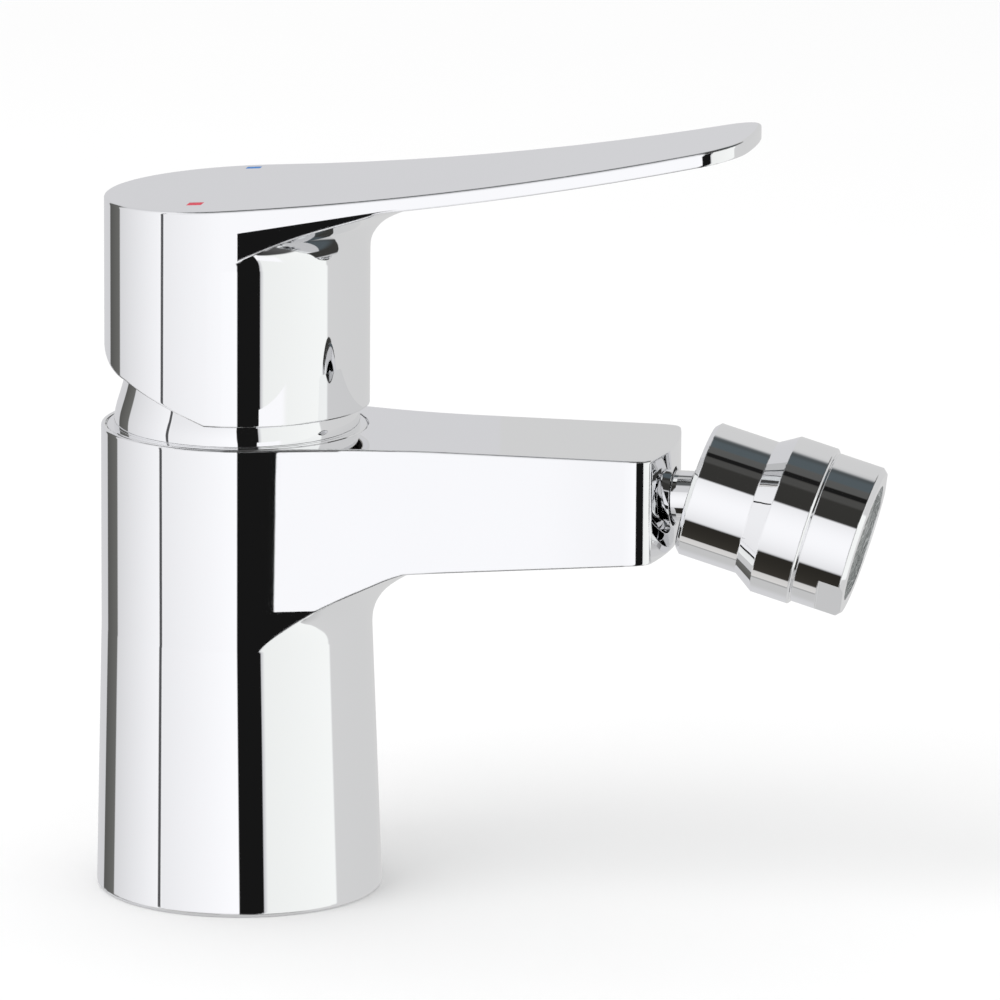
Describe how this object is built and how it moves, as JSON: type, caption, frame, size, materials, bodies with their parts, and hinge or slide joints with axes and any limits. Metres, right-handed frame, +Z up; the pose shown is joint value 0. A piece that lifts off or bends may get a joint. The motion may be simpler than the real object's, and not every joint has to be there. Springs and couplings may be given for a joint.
{
  "type": "bidet mixer",
  "caption": "Single-lever bidet mixer: round column with a flat spout, a flat lever over a ceramic cartridge, and an aerator nozzle on a ball joint.",
  "frame": {"origin": "centre of the column's underside, on the deck, under the cartridge's axis", "axes": "+Z up, +X along the spout towards the user, +Y to the cold side"},
  "size_m": [0.1382, 0.05, 0.1373],
  "materials": {
    "chrome": "polished chrome plate",
    "brass": "machined",
    "steel": "turned stainless steel",
    "black_rubber": "matt",
    "white_plastic": "moulded",
    "grey_plastic": "moulded",
    "mesh_plastic": "moulded",
    "white_ceramic": "lapped",
    "red_enamel": "gloss",
    "blue_enamel": "gloss"
  },
  "bodies": {
    "mixer_body": {"body_casting": "chrome", "base_gasket": "black_rubber", "cartridge_foot": "white_plastic", "port_seals": "black_rubber", "disc_seals": "black_rubber", "fixed_disc": "white_ceramic", "cartridge_housing": "white_plastic", "housing_o_ring": "black_rubber", "cartridge_nut": "brass", "cover_ring": "chrome", "dome_cover": "chrome", "neck_seal": "black_rubber"},
    "carrier": {"stem_carrier": "grey_plastic", "stem_pin": "steel"},
    "lever": {"lever_handle": "chrome", "cartridge_stem": "steel", "lever_screw": "steel", "screw_plug": "chrome", "hot_mark": "red_enamel", "cold_mark": "blue_enamel"},
    "disc": {"moving_disc": "white_ceramic", "disc_driver": "grey_plastic"},
    "ball": {"ball_stem": "chrome"},
    "seat": {"ball_seat": "white_plastic", "ball_o_ring": "black_rubber"},
    "nozzle": {"swivel_socket": "chrome", "seat_retainer": "brass", "aerator_washer": "black_rubber", "aerator_ring": "chrome", "aerator_insert": "grey_plastic", "aerator_mesh": "mesh_plastic"}
  },
  "joints": [
    {"name": "temperature_turn", "type": "hinge", "parent": "mixer_body", "child": "carrier", "pos_m": [0, 0, 0.0875], "axis": [0, 0, 1], "range_deg": [-50, 50]},
    {"name": "flow_lift", "type": "hinge", "parent": "carrier", "child": "lever", "pos_m": [0, 0, 0.0875], "axis": [0, -1, 0], "range_deg": [0, 25]},
    {"name": "disc_slide", "type": "slide", "parent": "carrier", "child": "disc", "axis": [1, 0, 0], "range_m": [0, 0.0044]},
    {"name": "nozzle_swing", "type": "hinge", "parent": "mixer_body", "child": "ball", "pos_m": [0.0872, 0, 0.073], "axis": [1, 0, 0], "continuous": true},
    {"name": "nozzle_tilt", "type": "hinge", "parent": "ball", "child": "seat", "pos_m": [0.0872, 0, 0.073], "axis": [0, 1, 0], "range_deg": [-34, 2]},
    {"name": "nozzle_spin", "type": "hinge", "parent": "seat", "child": "nozzle", "pos_m": [0.0872, 0, 0.073], "axis": [0.9613, 0, -0.2756], "continuous": true}
  ],
  "couplings": [
    {"joint": "disc_slide", "follows": "flow_lift", "m_per_rad": 0.01}
  ]
}
